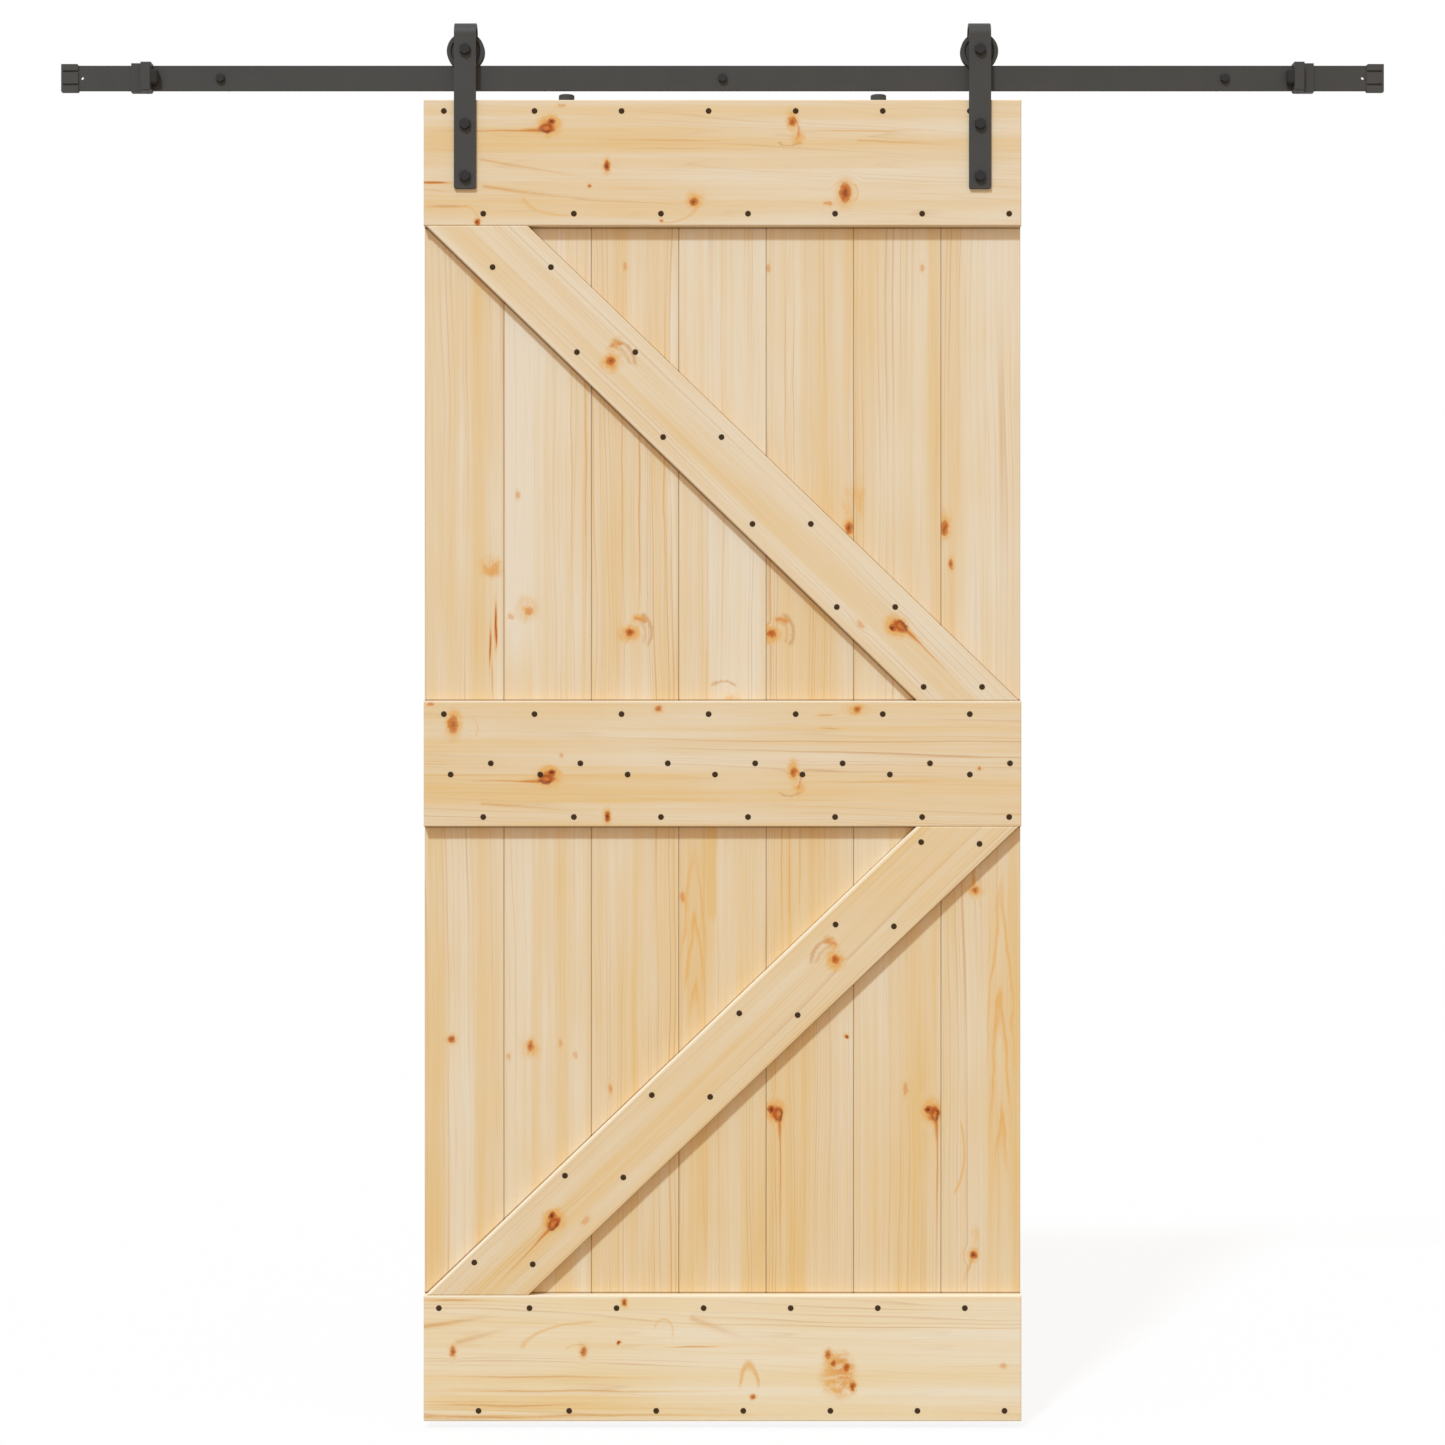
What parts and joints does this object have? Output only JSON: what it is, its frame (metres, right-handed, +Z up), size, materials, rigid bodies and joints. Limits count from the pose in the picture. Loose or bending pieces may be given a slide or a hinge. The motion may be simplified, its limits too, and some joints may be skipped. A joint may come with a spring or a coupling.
{
  "type": "sliding barn door",
  "caption": "Pine plank sliding barn door with a K-shaped frame, hung by wheeled strap hangers from a dark flat steel wall rail with end stops.",
  "frame": {"origin": "centre of the middle spacer's flat back face, on the wall and on the middle lag bolt's axis", "axes": "+X to the right along the rail as the door's face is seen, +Y into the wall, +Z up"},
  "size_m": [2.107, 0.1114, 2.2245],
  "materials": {
    "plank_pine": "matte",
    "batten_pine": "matte",
    "brace_pine": "matte",
    "coated_steel": "matte",
    "fastener_steel": "satin",
    "wheel_nylon": "satin",
    "moulded_plastic": "matte",
    "bumper_rubber": "matte"
  },
  "bodies": {
    "track": {"track_rail": "coated_steel", "left_spacer": "coated_steel", "centre_spacer": "coated_steel", "right_spacer": "coated_steel", "left_lag_bolt": "fastener_steel", "centre_lag_bolt": "fastener_steel", "right_lag_bolt": "fastener_steel", "left_end_cap": "moulded_plastic", "right_end_cap": "moulded_plastic", "left_stop": "coated_steel", "right_stop": "coated_steel", "left_bumper": "bumper_rubber", "right_bumper": "bumper_rubber"},
    "door": {"plank_1": "plank_pine", "plank_2": "plank_pine", "plank_3": "plank_pine", "plank_4": "plank_pine", "plank_5": "plank_pine", "plank_6": "plank_pine", "plank_7": "plank_pine", "top_batten": "batten_pine", "middle_batten": "batten_pine", "bottom_batten": "batten_pine", "upper_brace": "brace_pine", "lower_brace": "brace_pine", "left_hanger": "coated_steel", "right_hanger": "coated_steel", "left_axle": "fastener_steel", "right_axle": "fastener_steel", "left_upper_bolt": "fastener_steel", "left_lower_bolt": "fastener_steel", "right_upper_bolt": "fastener_steel", "right_lower_bolt": "fastener_steel", "left_anti_jump_disc": "moulded_plastic", "right_anti_jump_disc": "moulded_plastic"},
    "left_wheel_body": {"left_wheel": "wheel_nylon"},
    "right_wheel_body": {"right_wheel": "wheel_nylon"}
  },
  "joints": [
    {"name": "door_slide", "type": "slide", "parent": "track", "child": "door", "axis": [1, 0, 0], "range_m": [-0.47, 0.47]},
    {"name": "left_wheel_roll", "type": "hinge", "parent": "door", "child": "left_wheel_body", "pos_m": [-0.409, -0.035, 0.0423], "axis": [0, 1, 0], "continuous": true},
    {"name": "right_wheel_roll", "type": "hinge", "parent": "door", "child": "right_wheel_body", "pos_m": [0.409, -0.035, 0.0423], "axis": [0, 1, 0], "continuous": true}
  ],
  "couplings": [
    {"joint": "left_wheel_roll", "follows": "door_slide", "rad_per_m": 45.455},
    {"joint": "right_wheel_roll", "follows": "door_slide", "rad_per_m": 45.455}
  ]
}
